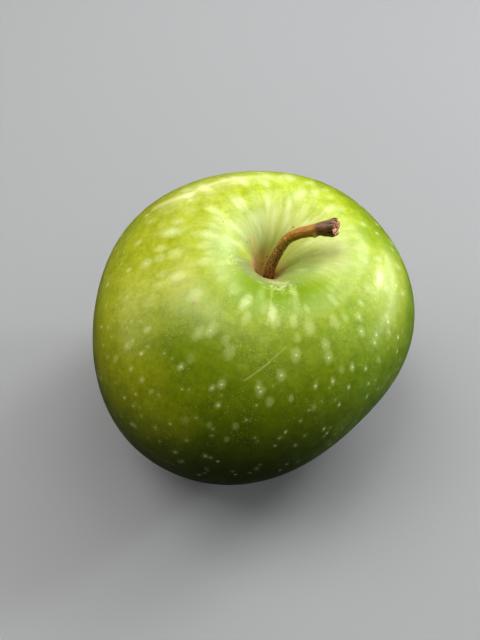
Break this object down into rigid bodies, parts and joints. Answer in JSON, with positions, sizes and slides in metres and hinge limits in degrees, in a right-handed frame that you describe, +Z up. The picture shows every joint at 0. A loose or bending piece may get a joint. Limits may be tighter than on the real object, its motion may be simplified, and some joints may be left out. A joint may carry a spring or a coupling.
{
  "type": "green apple",
  "caption": "Whole green dessert apple, lopsided and leaning, standing on its base knobs, with a bent woody stem in a deep cavity and a dry calyx underneath.",
  "frame": {"origin": "on the floor, under the middle of the apple's outline", "axes": "+Z up; +X the way the stem bends and the core leans; -Y the side that the stem cavity's low lip faces"},
  "size_m": [0.077, 0.0752, 0.0667],
  "materials": {
    "apple_skin": "satin",
    "stem_bark": "matte",
    "dry_calyx": "matte"
  },
  "bodies": {
    "root": {"fruit": "apple_skin", "stem": "stem_bark", "calyx": "dry_calyx"}
  },
  "joints": []
}
